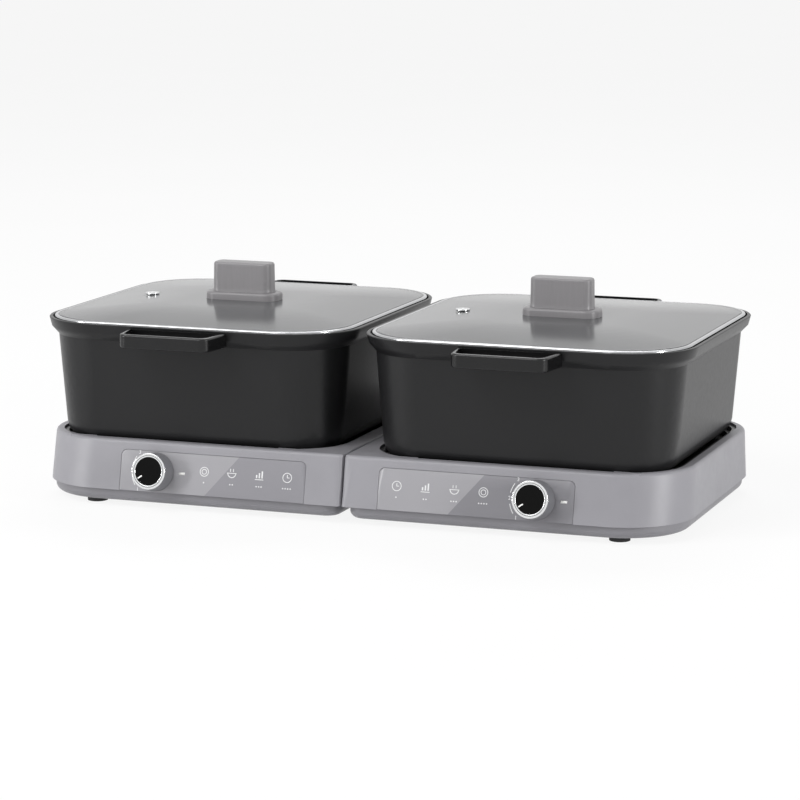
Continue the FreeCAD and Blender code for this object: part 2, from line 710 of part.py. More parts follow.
def make_pan(side, prefix):
    body = new_body(prefix + "well_pan")
    under = flat_sketch(body, "outline", PAN_UNDER)
    well_box(under, side, D["pan_fit"])
    pad(body, "block", under, PAN_TOP - PAN_UNDER)
    upper = flat_sketch(body, "upper_outline", PAN_TOP)
    well_box(upper, side, D["pan_fit"] + D["pan_rim"])
    pocket(body, "upper_hollow", upper, D["pan_step"])
    lower = flat_sketch(body, "lower_outline", PAN_TOP - D["pan_step"])
    well_box(lower, side, D["pan_fit"] + D["pan_rim"] + D["pan_ledge"])
    pocket(body, "lower_hollow", lower, PAN_TOP - D["pan_step"] - D["pan_floor"])
    hole = flat_sketch(body, "plate_opening", D["pan_floor"])
    draw_circle(hole, D["pot_middle"] * side, 0, D["plate_neck"] + 1)
    pocket(body, "plate_hole", hole, D["pan_sheet"] + 1)
    return body


def make_plate(side, prefix):
    body = new_body(prefix + "heating_plate")
    middle = D["pot_middle"] * side
    face = flat_sketch(body, "face_outline", D["pan_floor"])
    draw_circle(face, middle, 0, D["plate_radius"])
    pad(body, "disc", face, D["plate_top"] - D["pan_floor"])
    neck = flat_sketch(body, "boss_outline", PLATE_UNDER)
    draw_circle(neck, middle, 0, D["plate_neck"])
    boss = pad(body, "boss", neck, D["pan_floor"] - PLATE_UNDER + 1)
    edge = edges_at(boss.Shape, D["plate_top"].value)
    chamfer(body, "edge_break", boss, edge, D["plate_break"])
    dimple = flat_sketch(body, "dimple_outline", D["plate_top"])
    draw_circle(dimple, middle, 0, D["plate_hole"])
    pocket(body, "dimple", dimple, D["dimple_depth"])
    return body


def make_tube(side, prefix):
    """The sheathed heating tube: a ring under the plate with two terminals that turn down."""
    middle = D["pot_middle"] * side
    ring = doc.addObject("Part::Torus", prefix + "tube_ring")
    bind(ring, "Radius1", D["tube_ring"])
    bind(ring, "Radius2", D["tube_radius"])
    ring.Placement = FreeCAD.Placement(FreeCAD.Vector(0, 0, 0), FreeCAD.Rotation())
    bind(ring, "Placement.Base.x", middle)
    bind(ring, "Placement.Base.z", PLATE_UNDER - D["tube_radius"])
    parts = [ring]
    for sx in (-1, 1):
        pin = doc.addObject("Part::Cylinder", f"{prefix}tube_pin_{'ab'[sx > 0]}")
        bind(pin, "Radius", D["tube_radius"] / 2)
        bind(pin, "Height", D["terminal_drop"] + D["tube_radius"])
        bind(pin, "Placement.Base.x", middle + D["terminal_spread"] * sx)
        bind(pin, "Placement.Base.y", D["tube_ring"])
        bind(pin, "Placement.Base.z", PLATE_UNDER - 2 * D["tube_radius"] - D["terminal_drop"])
        parts.append(pin)
    tube = doc.addObject("Part::MultiFuse", prefix + "heating_tube")
    tube.Shapes = parts
    tube.Label = prefix + "heating_tube"
    return tube


def make_cutout(side, prefix):
    switch = doc.addObject("Part::Cylinder", prefix + "thermostat")
    switch.Label = prefix + "thermostat"
    bind(switch, "Radius", D["cutout_radius"])
    bind(switch, "Height", D["cutout_height"])
    bind(switch, "Placement.Base.x", D["pot_middle"] * side)
    bind(switch, "Placement.Base.z", PLATE_UNDER - D["cutout_height"])
    return switch


def make_fuse(side, prefix):
    fuse = doc.addObject("Part::Cylinder", prefix + "thermal_fuse")
    fuse.Label = prefix + "thermal_fuse"
    fuse.Placement = FreeCAD.Placement(FreeCAD.Vector(0, 0, 0), FreeCAD.Rotation(FreeCAD.Vector(0, 1, 0), 90))
    bind(fuse, "Radius", D["fuse_radius"])
    bind(fuse, "Height", D["fuse_length"])
    bind(fuse, "Placement.Base.x", D["pot_middle"] * side - D["fuse_length"] / 2)
    bind(fuse, "Placement.Base.y", -D["fuse_offset"])
    bind(fuse, "Placement.Base.z", PLATE_UNDER - D["fuse_radius"])
    return fuse


def make_panel(side, prefix):
    body = new_body(prefix + "control_panel")
    outline = face_sketch(body, "outline", side, D["panel_sheet"])
    panel_outline(outline, side, 0, D["panel_groove"])
    pad(body, "plate", outline, D["panel_sheet"])
    holes = face_sketch(body, "holes", side, 0)
    draw_circle(holes, knob_x(side), D["knob_rise"], D["bushing_radius"] + D["shaft_fit"])
    lens_box(holes, side, D["shaft_fit"])
    pocket(body, "dial_and_lamp_holes", holes, D["panel_sheet"] + 1)
    return body


def make_lens(side, prefix):
    body = new_body(prefix + "lamp_lens")
    outline = face_sketch(body, "outline", side, D["shell_wall"] + 2)
    lens_box(outline, side, 0)
    pad(body, "bar", outline, D["shell_wall"] + 2 + D["lens_proud"])
    return body


def make_switch(side, prefix):
    """Rotary switch: a block behind the wall with a bushing through it, and a round bore for the shaft."""
    body = new_body(prefix + "rotary_switch")
    back = D["shell_wall"] + D["switch_depth"]
    block = face_sketch(body, "block_outline", side, back)
    half = D["switch_side"] / 2
    x = knob_x(side)
    draw_box(block, x - half, x + half, D["knob_rise"] - half, D["knob_rise"] + half)
    pad(body, "block", block, D["switch_depth"] - 0.2)
    neck = face_sketch(body, "bushing_outline", side, back)
    draw_circle(neck, x, D["knob_rise"], D["bushing_radius"])
    pad(body, "bushing", neck, back + D["knob_lift"] - 0.3)
    bore = face_sketch(body, "bore_outline", side, -2)
    draw_circle(bore, x, D["knob_rise"], D["shaft_radius"] + D["shaft_fit"])
    pocket(body, "bore", bore, 2 + back - 1.5)
    return body


def make_shaft(side, prefix):
    body = new_body(prefix + "switch_shaft")
    back = D["shell_wall"] + D["switch_depth"] - 2
    outline = face_sketch(body, "outline", side, back)
    draw_circle(outline, knob_x(side), D["knob_rise"], D["shaft_radius"])
    pad(body, "rod", outline, back + D["knob_lift"] + D["shaft_depth"])
    return body


def make_knob(side, prefix):
    body = new_body(prefix + "knob_body")
    x = knob_x(side)
    low = face_sketch(body, "foot_outline", side, -D["knob_lift"])
    draw_circle(low, x, D["knob_rise"], D["knob_foot_radius"])
    high = face_sketch(body, "top_outline", side, -(D["knob_lift"] + D["knob_height"]))
    draw_circle(high, x, D["knob_rise"], D["knob_radius"])
    loft(body, "cone", [low, high])
    bore = face_sketch(body, "bore_outline", side, -D["knob_lift"])
    draw_circle(bore, x, D["knob_rise"], D["shaft_radius"])
    pocket(body, "shaft_bore", bore, D["shaft_depth"], upward=True)
    return body


def make_knob_ring(side, prefix):
    body = new_body(prefix + "knob_ring")
    base = -(D["knob_lift"] + D["knob_height"])
    outline = face_sketch(body, "outline", side, base)
    draw_circle(outline, knob_x(side), D["knob_rise"], D["knob_radius"])
    draw_circle(outline, knob_x(side), D["knob_rise"], D["face_radius"])
    pad(body, "ring", outline, D["ring_height"])
    return body


def make_knob_face(side, prefix):
    body = new_body(prefix + "knob_face")
    base = -(D["knob_lift"] + D["knob_height"])
    outline = face_sketch(body, "outline", side, base)
    draw_circle(outline, knob_x(side), D["knob_rise"], D["face_radius"])
    pad(body, "disc", outline, D["face_height"])
    return body


def make_board(side, prefix):
    body = new_body(prefix + "control_board")
    depth = D["shell_wall"] + D["switch_depth"] + D["board_sheet"]
    outline = face_sketch(body, "outline", side, depth)
    middle = (D["panel_joint"] + D["panel_length"] / 2) * side
    half = D["board_length"] / 2
    half_up = D["board_height"] / 2
    draw_box(outline, middle - half, middle + half, D["knob_rise"] - half_up, D["knob_rise"] + half_up)
    pad(body, "board", outline, D["board_sheet"])
    return body


def make_inlet(side, prefix):
    """Power inlet: a block in the rear wall with a hollow socket and two bores for its pins."""
    body = new_body(prefix + "power_inlet")
    flange = rear_sketch(body, "flange_outline", side, -D["inlet_proud"])
    inlet_box(flange, side, D["inlet_width"] / 2, D["inlet_height"] / 2)
    pad(body, "flange", flange, D["inlet_proud"] + D["inlet_flange"])
    barrel = rear_sketch(body, "barrel_outline", side, -D["inlet_proud"])
    wall = D["inlet_wall"]
    inlet_box(barrel, side, D["socket_width"] / 2 + wall, D["socket_height"] / 2 + wall)
    pad(body, "barrel", barrel, D["inlet_proud"] + D["inlet_depth"])
    socket = rear_sketch(body, "socket_outline", side, -D["inlet_proud"])
    inlet_box(socket, side, D["socket_width"] / 2, D["socket_height"] / 2)
    pocket(body, "socket", socket, D["socket_depth"], upward=True)
    bores = rear_sketch(body, "pin_bores", side, -D["inlet_proud"])
    draw_pins(bores, side)
    pocket(body, "bores", bores, D["inlet_proud"] + D["inlet_depth"] - 2, upward=True)
    return body


def draw_pins(sketch, side):
    for sx in (-1, 1):
        draw_circle(sketch, D["inlet_offset"] * side + D["pin_spread"] * sx, INLET_HEIGHT, D["pin_radius"])


def make_pins(side, prefix):
    body = new_body(prefix + "inlet_pins")
    body.AllowCompound = True
    outline = rear_sketch(body, "outline", side, D["inlet_depth"] - 2)
    draw_pins(outline, side)
    pad(body, "pins", outline, D["pin_length"] + D["inlet_proud"] + D["inlet_depth"] - 2 - D["socket_depth"],
        reverse=True)
    return body


def rim_box(sketch, side, inset):
    """The pot's plan outline, moved in from its rim."""
    inset = as_size(inset)
    middle = D["pot_middle"] * side
    half_x = D["rim_half_x"] - inset
    half_y = D["rim_half_y"] - inset
    radius = D["rim_corner"] - inset * D["corner_pull"]
    draw_box(sketch, middle - half_x, middle + half_x, -half_y, half_y, [radius] * 4)


def rim_loft(body, name, side, stations, subtract=False):
    """A loft of pot outlines at the given heights and insets."""
    sections = []
    for number, (height, inset) in enumerate(stations):
        section = flat_sketch(body, f"{name}_{number}", height)
        rim_box(section, side, inset)
        sections.append(section)
    return loft(body, name, sections, subtract)


def wall_inset(height):
    """Inset of the pot's outer wall at a height below the flare."""
    return D["rim_tuck"] + D["flare_step"] + (FLARE_FOOT - height) * tan_of(D["pot_draft"])


def flare_inset(height):
    """Inset of the slope under the band at a height."""
    return D["rim_tuck"] + D["flare_step"] * (BAND_FOOT - height) / D["rim_flare"]


def make_pot(side, prefix):
    body = new_body(prefix + "pot")
    outside = [(height, wall_inset(height) + extra)
               for height, extra in rounded_foot(D["pot_foot"], D["pot_round"])]
    outside += [
        (FLARE_FOOT, wall_inset(FLARE_FOOT)),
        (BAND_FOOT, D["rim_tuck"]),
        (D["pot_top"] - D["lip_round"], as_size(0)),
        (D["pot_top"], D["lip_round"]),
    ]
    rim_loft(body, "outside", side, outside)
    floor = D["pot_foot"] + D["pot_floor"]
    inside = [(height, wall_inset(height) + D["pot_wall"] + extra)
              for height, extra in rounded_foot(floor, D["pot_round"] - D["pot_wall"])]
    inside += [
        (FLARE_FOOT, wall_inset(FLARE_FOOT) + D["pot_wall"]),
        (SEAT_TOP + 0.5, D["seat_inset"] + D["seat_width"]),
    ]
    rim_loft(body, "inside", side, inside, subtract=True)
    seat = flat_sketch(body, "seat_outline", D["pot_top"] + 1)
    rim_box(seat, side, D["seat_inset"])
    pocket(body, "lid_seat", seat, D["seat_depth"] + 1)
    bores = flat_sketch(body, "grip_bores", D["grip_foot"])
    for x, y in grip_screw_spots(side):
        draw_circle(bores, x, y, D["grip_screw_radius"])
    pocket(body, "screw_bores", bores, D["grip_screw_length"], upward=True)
    return body


def grip_screw_spots(side):
    spots = []
    for sx in (-1, 1):
        for sy in (-1, 1):
            spots.append((D["pot_middle"] * side + D["grip_screw_x"] * sx,
                          (D["rim_half_y"] - D["grip_screw_in"]) * sy))
    return spots


def draw_polygon(sketch, points):
    """A closed outline of straight lines with every corner held by the sheet."""
    count = len(points)
    lines = []
    for i, (x, y) in enumerate(points):
        x2, y2 = points[(i + 1) % count]
        start = FreeCAD.Vector(x.value, y.value, 0)
        lines.append(sketch.addGeometry(Part.LineSegment(start, FreeCAD.Vector(x2.value, y2.value, 0)), False))
    for i in range(count):
        sketch.addConstraint(Sketcher.Constraint("Coincident", lines[i - 1], 2, lines[i], 1))
        pin_point(sketch, "X", lines[i], 1, points[i][0])
        pin_point(sketch, "Y", lines[i], 1, points[i][1])


def grip_outline(sketch, side, end, inset):
    """A pot handle in plan, wider at the pot. end is -1 for the front and 1 for the rear."""
    middle = D["pot_middle"] * side
    root = (D["rim_half_y"] + inset) * end
    reach = (D["rim_half_y"] + D["grip_reach"] - inset) * end
    root_half = D["grip_root_half"] - inset
    half = D["grip_half"] - inset
    draw_polygon(sketch, [(middle - root_half, root), (middle - half, reach),
                          (middle + half, reach), (middle + root_half, root)])


def upright_edges(shape, end_y):
    """Names of the upright edges that stand at one Y."""
    names = []
    for i, edge in enumerate(shape.Edges, start=1):
        box = edge.BoundBox
        if box.ZLength > 1 and box.XLength < 0.01 and abs(box.Center.y - end_y) < 0.05:
            names.append(f"Edge{i}")
    return names


def make_grip(side, prefix, end, word):
    body = new_body(f"{prefix}pot_handle_{word}")
    outline = flat_sketch(body, "outline", D["grip_foot"])
    grip_outline(outline, side, end, as_size(0))
    block = pad(body, "block", outline, D["grip_height"])
    reach = (D["rim_half_y"] + D["grip_reach"]).value * end
    rounded = fillet(body, "corners", block, upright_edges(block.Shape, reach), D["grip_corner"])
    top = D["grip_foot"] + D["grip_height"]
    rims = edges_at(rounded.Shape, top.value, beyond_rim) + edges_at(rounded.Shape, D["grip_foot"].value, beyond_rim)
    fillet(body, "edges", rounded, rims, D["grip_edge"])
    dish = flat_sketch(body, "dish_outline", top)
    grip_outline(dish, side, end, D["dish_edge"])
    hollow = pocket(body, "dish", dish, D["dish_depth"])
    inner_reach = reach - D["dish_edge"].value * end
    fillet(body, "dish_corners", hollow, upright_edges(hollow.Shape, inner_reach), D["dish_corner"])
    tab = flat_sketch(body, "tab_outline", D["grip_foot"])
    middle = D["pot_middle"] * side
    near = (D["rim_half_y"] - flare_inset(D["grip_foot"] + D["tab_sheet"]) + D["tab_fit"]) * end
    far = (D["rim_half_y"] + D["tab_bite"]) * end
    low, high = (far, near) if end < 0 else (near, far)
    half = D["grip_half"] + D["tab_side"]
    draw_box(tab, middle - half, middle + half, low, high)
    pad(body, "tab", tab, D["tab_sheet"])
    bores = flat_sketch(body, "bore_outline", D["grip_foot"] + D["tab_sheet"])
    for x, y in grip_screw_spots(side):
        if y.value * end > 0:
            draw_circle(bores, x, y, D["grip_screw_radius"])
    pocket(body, "bores", bores, D["tab_sheet"] + 1)
    return body


def beyond_rim(edge):
    """True for edges of a handle that don't lie against the pot."""
    return abs(edge.BoundBox.Center.y) > D["rim_half_y"].value + 1


def make_grip_screws(side, prefix):
    body = new_body(prefix + "handle_screws")
    body.AllowCompound = True
    heads = flat_sketch(body, "head_outline", D["grip_foot"] - D["grip_screw_head"])
    shanks = flat_sketch(body, "shank_outline", D["grip_foot"] - D["grip_screw_head"])
    for x, y in grip_screw_spots(side):
        draw_circle(heads, x, y, D["grip_screw_cap"])
        draw_circle(shanks, x, y, D["grip_screw_radius"])
    pad(body, "heads", heads, D["grip_screw_head"])
    pad(body, "shanks", shanks, D["grip_screw_length"])
    return body


LID_INSET = D["seat_inset"] + D["lid_gap"]
BAND_INSET = LID_INSET + D["lid_band_width"]
GLASS_INSET = BAND_INSET + D["glass_fit"]
GLASS_UNDER = GLASS_TOP - D["glass_sheet"]
VENT_SHARE = (D["rim_half_x"] - GLASS_INSET - D["vent_x"]) / (D["rim_half_x"] - GLASS_INSET - D["dome_half"])


def dome_stations(edge_height, rise, first_inset):
    """Heights and insets of a shallow dome that is flat in the middle."""
    steps = 8
    run = D["rim_half_x"] - D["dome_half"] - first_inset
    stations = []
    for step in range(steps + 1):
        share = step / steps
        stations.append((edge_height + rise * math.sin(share * math.pi / 2), first_inset + run * share))
    return stations


def dome_loft(body, name, side, stations, subtract=False):
    """Like rim_loft, for outlines that shrink to the lid's middle with a softer corner."""
    sections = []
    for number, (height, inset) in enumerate(stations):
        section = flat_sketch(body, f"{name}_{number}", height)
        middle = D["pot_middle"] * side
        half_x = D["rim_half_x"] - inset
        half_y = D["rim_half_y"] - inset
        radius = half_x * D["dome_corner"]
        draw_box(section, middle - half_x, middle + half_x, -half_y, half_y, [radius] * 4)
        sections.append(section)
    return loft(body, name, sections, subtract)


def make_glass(side, prefix):
    body = new_body(prefix + "lid_glass")
    middle = D["pot_middle"] * side
    foot = flat_sketch(body, "foot_outline", GLASS_FOOT)
    rim_box(foot, side, GLASS_INSET)
    pad(body, "edge", foot, D["glass_sheet"])
    dome_loft(body, "dome", side, dome_stations(GLASS_EDGE_TOP, D["glass_rise"], GLASS_INSET + 1.0))
    under = dome_stations(GLASS_FOOT, D["glass_rise"], GLASS_INSET + 6)
    under[0] = (GLASS_FOOT - 0.2, under[0][1])
    dome_loft(body, "under", side, under, subtract=True)
    holes = flat_sketch(body, "hole_outline", GLASS_TOP + 1)
    draw_circle(holes, middle, 0, D["stud_radius"])
    draw_circle(holes, middle - D["vent_x"], D["vent_y"], D["vent_stem"])
    pocket(body, "holes", holes, GLASS_TOP - GLASS_FOOT + 3)
    return body


def make_band(side, prefix):
    body = new_body(prefix + "lid_rim")
    stations = [(LID_FOOT, LID_INSET)] + [
        (height, LID_INSET + inset) for height, inset in rounded_top(LID_FOOT + D["lid_band"], D["lid_band_round"])]
    rim_loft(body, "outside", side, stations)
    inside = flat_sketch(body, "inside_outline", LID_FOOT + D["lid_band"] + 1)
    rim_box(inside, side, BAND_INSET)
    pocket(body, "glass_seat", inside, D["lid_band"] + 1 - D["lid_lip_sheet"])
    window = flat_sketch(body, "window_outline", GLASS_FOOT)
    rim_box(window, side, BAND_INSET + D["lid_lip"])
    pocket(body, "window", window, D["lid_lip_sheet"] + 1)
    return body


def make_vent(side, prefix):
    body = new_body(prefix + "steam_vent")
    middle = D["pot_middle"] * side - D["vent_x"]
    rise = D["glass_rise"] * math.sin(VENT_SHARE.value * math.pi / 2)
    seat = GLASS_EDGE_TOP + rise + D["vent_gasket"]
    stem = flat_sketch(body, "stem_outline", seat - D["glass_sheet"] - 1)
    draw_circle(stem, middle, D["vent_y"], D["vent_stem"])
    pad(body, "stem", stem, D["glass_sheet"] + 2)
    cap = flat_sketch(body, "cap_outline", seat)
    draw_circle(cap, middle, D["vent_y"], D["vent_radius"])
    pad(body, "cap", cap, D["vent_cap"])
    bore = flat_sketch(body, "bore_outline", seat + D["vent_cap"])
    draw_circle(bore, middle, D["vent_y"], D["vent_hole"])
    pocket(body, "bore", bore, D["glass_sheet"] + 5)
    return body


def block_loft(body, name, side, half_x, half_y, corner, stations):
    """A stack of rounded rectangles over the lid's middle."""
    middle = D["pot_middle"] * side
    sections = []
    for number, (height, inset) in enumerate(stations):
        section = flat_sketch(body, f"{name}_{number}", height)
        draw_box(section, middle - half_x + inset, middle + half_x - inset,
                 inset - half_y, half_y - inset, [corner - inset] * 4)
        sections.append(section)
    return loft(body, name, sections)


def stud_bore(body, side, top, depth):
    bore = flat_sketch(body, "stud_bore", top)
    draw_circle(bore, D["pot_middle"] * side, 0, D["stud_radius"])
    pocket(body, "stud_hole", bore, depth, upward=True)


def make_collar(side, prefix):
    body = new_body(prefix + "lid_knob_collar")
    stations = [(GLASS_TOP, as_size(0))] + rounded_top(COLLAR_TOP, D["collar_round"])
    block_loft(body, "collar", side, D["collar_length"] / 2, D["collar_width"] / 2, D["collar_corner"], stations)
    stud_bore(body, side, GLASS_TOP, D["collar_height"])
    return body


def make_lid_knob(side, prefix):
    body = new_body(prefix + "lid_knob")
    taper = D["block_taper"]
    stations = [(COLLAR_TOP, as_size(0)), (COLLAR_TOP + D["block_sweep"], taper * D["block_sweep_share"])] + [
        (height, taper + inset) for height, inset in rounded_top(D["block_top"], D["block_round"], 4)]
    block_loft(body, "block", side, D["block_length"] / 2, D["block_width"] / 2, D["block_corner"], stations)
    stud_bore(body, side, COLLAR_TOP, D["stud_length"] - D["glass_sheet"] - D["collar_height"])
    return body


def make_stud(side, prefix):
    body = new_body(prefix + "lid_knob_screw")
    middle = D["pot_middle"] * side
    head = flat_sketch(body, "head_outline", GLASS_UNDER - D["stud_head_height"])
    draw_circle(head, middle, 0, D["stud_head"])
    pad(body, "head", head, D["stud_head_height"])
    shank = flat_sketch(body, "shank_outline", GLASS_UNDER - 1)
    draw_circle(shank, middle, 0, D["stud_radius"])
    pad(body, "shank", shank, D["stud_length"] + 1)
    return body


def check_and_save(pieces):
    """Stops on any failed object, then writes one file for each piece."""
    doc.recompute()
    for thing in doc.Objects:
        if "Invalid" in thing.State or "Error" in thing.State:
            raise RuntimeError("failed object: " + thing.Label)
    os.makedirs("parts", exist_ok=True)
    for piece in pieces:
        if piece.Shape.isNull() or not piece.Shape.isValid() or not piece.Shape.Solids:
            raise RuntimeError("bad shape: " + piece.Label)
    for piece in pieces:
        piece.Shape.exportStep(f"parts/{piece.Label}.step")
        print(piece.Label, len(piece.Shape.Solids), round(piece.Shape.Volume))


pieces = []
for side, prefix in ((-1, "left_"), (1, "right_")):
    pieces += [
        make_shell(side, prefix),
        make_tray(side, prefix),
        make_feet(side, prefix),
        make_case_screws(side, prefix),
        make_pan(side, prefix),
        make_plate(side, prefix),
        make_tube(side, prefix),
        make_cutout(side, prefix),
        make_fuse(side, prefix),
        make_panel(side, prefix),
        make_lens(side, prefix),
        make_switch(side, prefix),
        make_shaft(side, prefix),
        make_knob(side, prefix),
        make_knob_ring(side, prefix),
        make_knob_face(side, prefix),
        make_board(side, prefix),
        make_inlet(side, prefix),
        make_pins(side, prefix),
        make_pot(side, prefix),
        make_grip(side, prefix, -1, "front"),
        make_grip(side, prefix, 1, "back"),
        make_grip_screws(side, prefix),
        make_glass(side, prefix),
        make_band(side, prefix),
        make_vent(side, prefix),
        make_collar(side, prefix),
        make_lid_knob(side, prefix),
        make_stud(side, prefix),
    ]
check_and_save(pieces)
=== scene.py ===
import json
import math

import bmesh
import bpy
from mathutils import Matrix, Vector


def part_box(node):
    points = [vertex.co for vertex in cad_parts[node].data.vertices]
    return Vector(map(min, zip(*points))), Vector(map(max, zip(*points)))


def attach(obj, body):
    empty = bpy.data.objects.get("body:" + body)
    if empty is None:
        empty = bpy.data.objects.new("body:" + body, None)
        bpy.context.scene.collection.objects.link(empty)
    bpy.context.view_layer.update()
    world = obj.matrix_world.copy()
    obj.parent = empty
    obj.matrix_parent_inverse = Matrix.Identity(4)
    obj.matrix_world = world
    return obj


bl_info = {
    "name": "Hot pot dresser",
    "version": (1, 0, 0),
    "blender": (4, 5, 0),
    "location": "3D View > Sidebar > Hot pot",
    "description": "Finishes, printed marks and studio for an electric hot pot",
    "category": "Object",
}

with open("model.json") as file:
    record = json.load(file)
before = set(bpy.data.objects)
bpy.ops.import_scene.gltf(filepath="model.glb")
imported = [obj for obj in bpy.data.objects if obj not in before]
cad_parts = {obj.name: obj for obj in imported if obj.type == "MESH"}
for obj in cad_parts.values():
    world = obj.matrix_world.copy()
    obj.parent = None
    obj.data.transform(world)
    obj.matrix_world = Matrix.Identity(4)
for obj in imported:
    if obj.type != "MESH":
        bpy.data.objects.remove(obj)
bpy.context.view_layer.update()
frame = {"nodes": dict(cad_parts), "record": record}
SIDES = ("left", "right")
MM = 0.001

# The leaning front face, read from the panel that lies in it
FACE_LEAN = math.radians(12.3)
FACE_UP = Vector((0, math.sin(FACE_LEAN), math.cos(FACE_LEAN)))
FACE_OUT = Vector((0, -math.cos(FACE_LEAN), math.sin(FACE_LEAN)))
PANEL_CORNERS = [corner.co for corner in frame["nodes"]["left_control_panel"].data.vertices]
FACE_FOOT = (FACE_UP * (min(corner.dot(FACE_UP) for corner in PANEL_CORNERS) - 0.35 * MM)
             + FACE_OUT * max(corner.dot(FACE_OUT) for corner in PANEL_CORNERS))


# The slanted edge of a darker tone painted on the panels as a reflection: its run along X for each metre up,
# and where it starts
REFLECTION_SLANT = 0.874
REFLECTION_FOOT = {"left": -119.9 * MM, "right": 91.8 * MM}

# The printed pictures: where each stands along X, their height up the face, and the level dots under them
PICTURE_PLACES = {"left": (-121.0, -96.5, -72.0, -47.5), "right": (47.5, 72.0, 96.5, 121.0)}
PICTURE_RISE = 20.2 * MM
LINE = 0.6 * MM
DOT_DROP = 9.0 * MM
DOT_PITCH = 2.2 * MM
DOT_RADIUS = 0.6 * MM

# The heat scale beside a dial: numbers and arcs about the dial's axis
SCALE_DIGITS = ((1, 225), (2, 180), (3, 135))
DIGIT_REACH = 21.6 * MM
DIGIT_SIZE = 4.4 * MM
SCALE_ARCS = (146, 192)
ARC_SWEEP = 22
ARC_INNER = 21.2 * MM

# The dial's white pointer, and a dark ring painted as the shade of the groove in its bright ring
POINTER_REACH = 8.9 * MM
POINTER_LENGTH = 4.2 * MM
POINTER_WIDTH = 1.1 * MM
POINTER_HEIGHT = 0.12 * MM
GROOVE_INNER = 12.9 * MM
GROOVE_WIDTH = 0.4 * MM
GROOVE_HEIGHT = 0.03 * MM

# Modifiers that finish every built node
WELD_GAP = 0.01 * MM
BEVEL_LIMIT = math.radians(34)
BEVEL_SEGMENTS = 2
NORMAL_WEIGHT = 80

# The turned plate: one ring each 1.5 mm, as the wave texture counts 20 to a unit of its scale
TURNED_PITCH = 1.5 * MM
WAVE_COUNT = 20

# The studio: half the floor's side, how far the floor shows plain white, and the room's light off it
FLOOR_HALF = 15
FLOOR_WHITE = 0.88
ROOM_LIGHT = 0.36
LAMPS = (
    ("key", (-1.0, -1.6, 2.0), (0, 0, 0.1), (1.6, 1.6), 34),
    ("left_strip", (-2.0, -1.7, 0.5), (-0.1, 0, 0.1), (0.3, 1.1), 26),
    ("right_strip", (2.2, -0.6, 0.5), (0.15, 0, 0.1), (0.25, 1.0), 26),
    ("back", (-0.3, 1.7, 2.6), (0, 0, 0.15), (1.6, 1.0), 30),
)


def rgb(code):
    """Linear colour with alpha from an sRGB hex code."""
    def linear(part):
        value = int(part, 16) / 255
        return value / 12.92 if value <= 0.04045 else ((value + 0.055) / 1.055) ** 2.4
    return (linear(code[0:2]), linear(code[2:4]), linear(code[4:6]), 1.0)


class HotPotLooks(bpy.types.PropertyGroup):
    """Colours, pointer, ink and edges of the part"""
    shell: bpy.props.FloatVectorProperty(
        name="Shell", description="Moulded grey of the bases", subtype="COLOR", size=4,
        default=rgb("8C8B90"), min=0, max=1)
    panel_light: bpy.props.FloatVectorProperty(
        name="Panel light tone", description="Lighter part of the control panels", subtype="COLOR", size=4,
        default=rgb("98979B"), min=0, max=1)
    # The darker panel tone is a painted reflection, not a tone of the film
    panel_dark: bpy.props.FloatVectorProperty(
        name="Panel dark tone", description="Darker part of the control panels", subtype="COLOR", size=4,
        default=rgb("86858A"), min=0, max=1)
    pot: bpy.props.FloatVectorProperty(
        name="Pot", description="Non-stick coat of the pots", subtype="COLOR", size=4,
        default=rgb("1E1E1F"), min=0, max=1)
    knob: bpy.props.FloatVectorProperty(
        name="Lid knob", description="Moulded grey of the lid knobs", subtype="COLOR", size=4,
        default=rgb("807E80"), min=0, max=1)
    pointer_angle: bpy.props.FloatProperty(
        name="Pointer", description="Where the dial's pointer stands, anticlockwise from the right",
        subtype="ANGLE", unit="ROTATION", default=math.radians(215))
    ink_height: bpy.props.FloatProperty(
        name="Ink", description="How far a printed mark stands off its panel",
        subtype="DISTANCE", unit="LENGTH", default=0.06 * MM, min=0)
    edge: bpy.props.FloatProperty(
        name="Edge", description="Softness of the moulded edges", subtype="DISTANCE", unit="LENGTH",
        default=0.35 * MM, min=0)


class HotPotStudio(bpy.types.PropertyGroup):
    """Lens and place of the studio's camera"""
    lens: bpy.props.FloatProperty(
        name="Lens", description="Focal length in millimetres on a 36 mm sensor", default=139.27, min=10)
    stand: bpy.props.FloatVectorProperty(
        name="Camera place", description="Where the camera stands", subtype="TRANSLATION", unit="LENGTH",
        size=3, default=(0.8822, -2.4321, 0.5411))
    sight: bpy.props.FloatVectorProperty(
        name="Camera sight", description="Direction that the camera looks in", subtype="DIRECTION", size=3,
        default=(-0.33585, 0.92535, -0.17586))


def looks():
    return bpy.context.scene.hot_pot_looks


def add(tree, kind, settings=None, **links):
    """Adds a shader node, sets its options or sockets by name, and links sockets by name or as _number."""
    made = tree.nodes.new(kind)
    for name, value in (settings or {}).items():
        if name in made.inputs:
            made.inputs[name].default_value = value
        else:
            setattr(made, name, value)
    for name, source in links.items():
        socket = int(name[1:]) if name.startswith("_") else name
        tree.links.new(source, made.inputs[socket])
    return made


def new_material(name):
    material = bpy.data.materials.new(name)
    material.use_nodes = True
    tree = material.node_tree
    tree.nodes.clear()
    shader = add(tree, "ShaderNodeBsdfPrincipled")
    add(tree, "ShaderNodeOutputMaterial", Surface=shader.outputs[0])
    place = add(tree, "ShaderNodeTexCoord").outputs["Object"]
    return material, tree, shader, place


def ramp(tree, source, low, high, start=0.3, end=0.7):
    """A two-colour ramp over a pattern."""
    made = add(tree, "ShaderNodeValToRGB", Fac=source)
    made.color_ramp.elements[0].position = start
    made.color_ramp.elements[0].color = low
    made.color_ramp.elements[1].position = end
    made.color_ramp.elements[1].color = high
    return made.outputs[0]


def shade(colour, by):
    return tuple(min(1.0, max(0.0, part * by)) for part in colour[:3]) + (1.0,)


